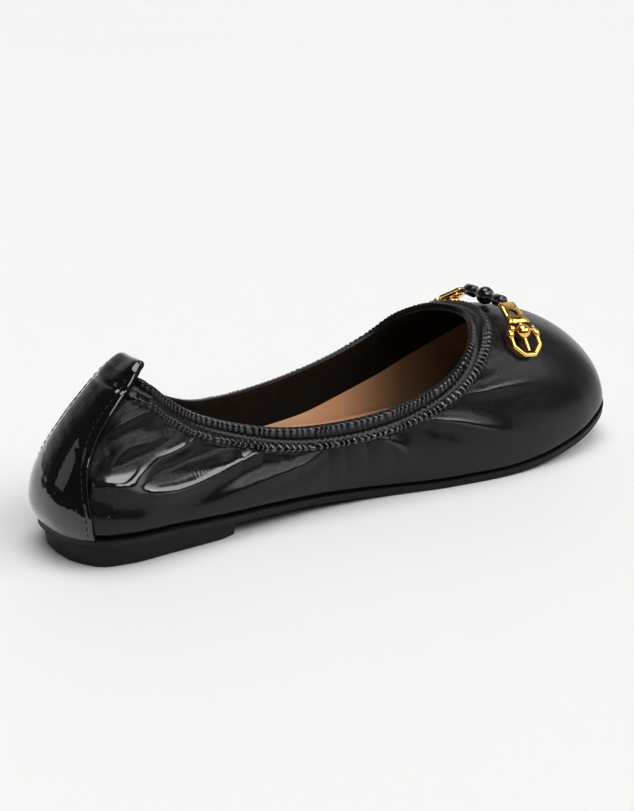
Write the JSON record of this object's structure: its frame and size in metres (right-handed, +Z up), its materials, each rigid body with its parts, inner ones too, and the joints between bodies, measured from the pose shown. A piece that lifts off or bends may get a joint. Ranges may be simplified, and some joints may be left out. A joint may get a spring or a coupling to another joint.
{
  "type": "ballet flat",
  "caption": "Low ballet flat with a round toe, hollow elasticated leather upper, thin sole, low heel block, folded back strap and a bit ornament on the vamp.",
  "frame": {"origin": "on the floor under the middle of the whole shoe's box", "axes": "+X to the toe, -Y to the medial side, +Z up"},
  "size_m": [0.2504, 0.08, 0.0659],
  "materials": {
    "black_leather": "glossy fine grain",
    "black_patent": "patent",
    "black_rubber": "matt",
    "tan_leather": "smooth matt",
    "gold_metal": "polished",
    "black_lacquer": "gloss"
  },
  "bodies": {
    "root": {"upper": "black_leather", "back_strap": "black_patent", "outsole": "black_rubber", "heel": "black_rubber", "insole": "tan_leather", "bit_bar": "black_lacquer", "bit_plate_medial": "gold_metal", "bit_plate_lateral": "gold_metal", "bit_ball_medial": "gold_metal", "bit_ball_lateral": "gold_metal", "bit_link_medial": "gold_metal", "bit_link_lateral": "gold_metal"}
  },
  "joints": []
}
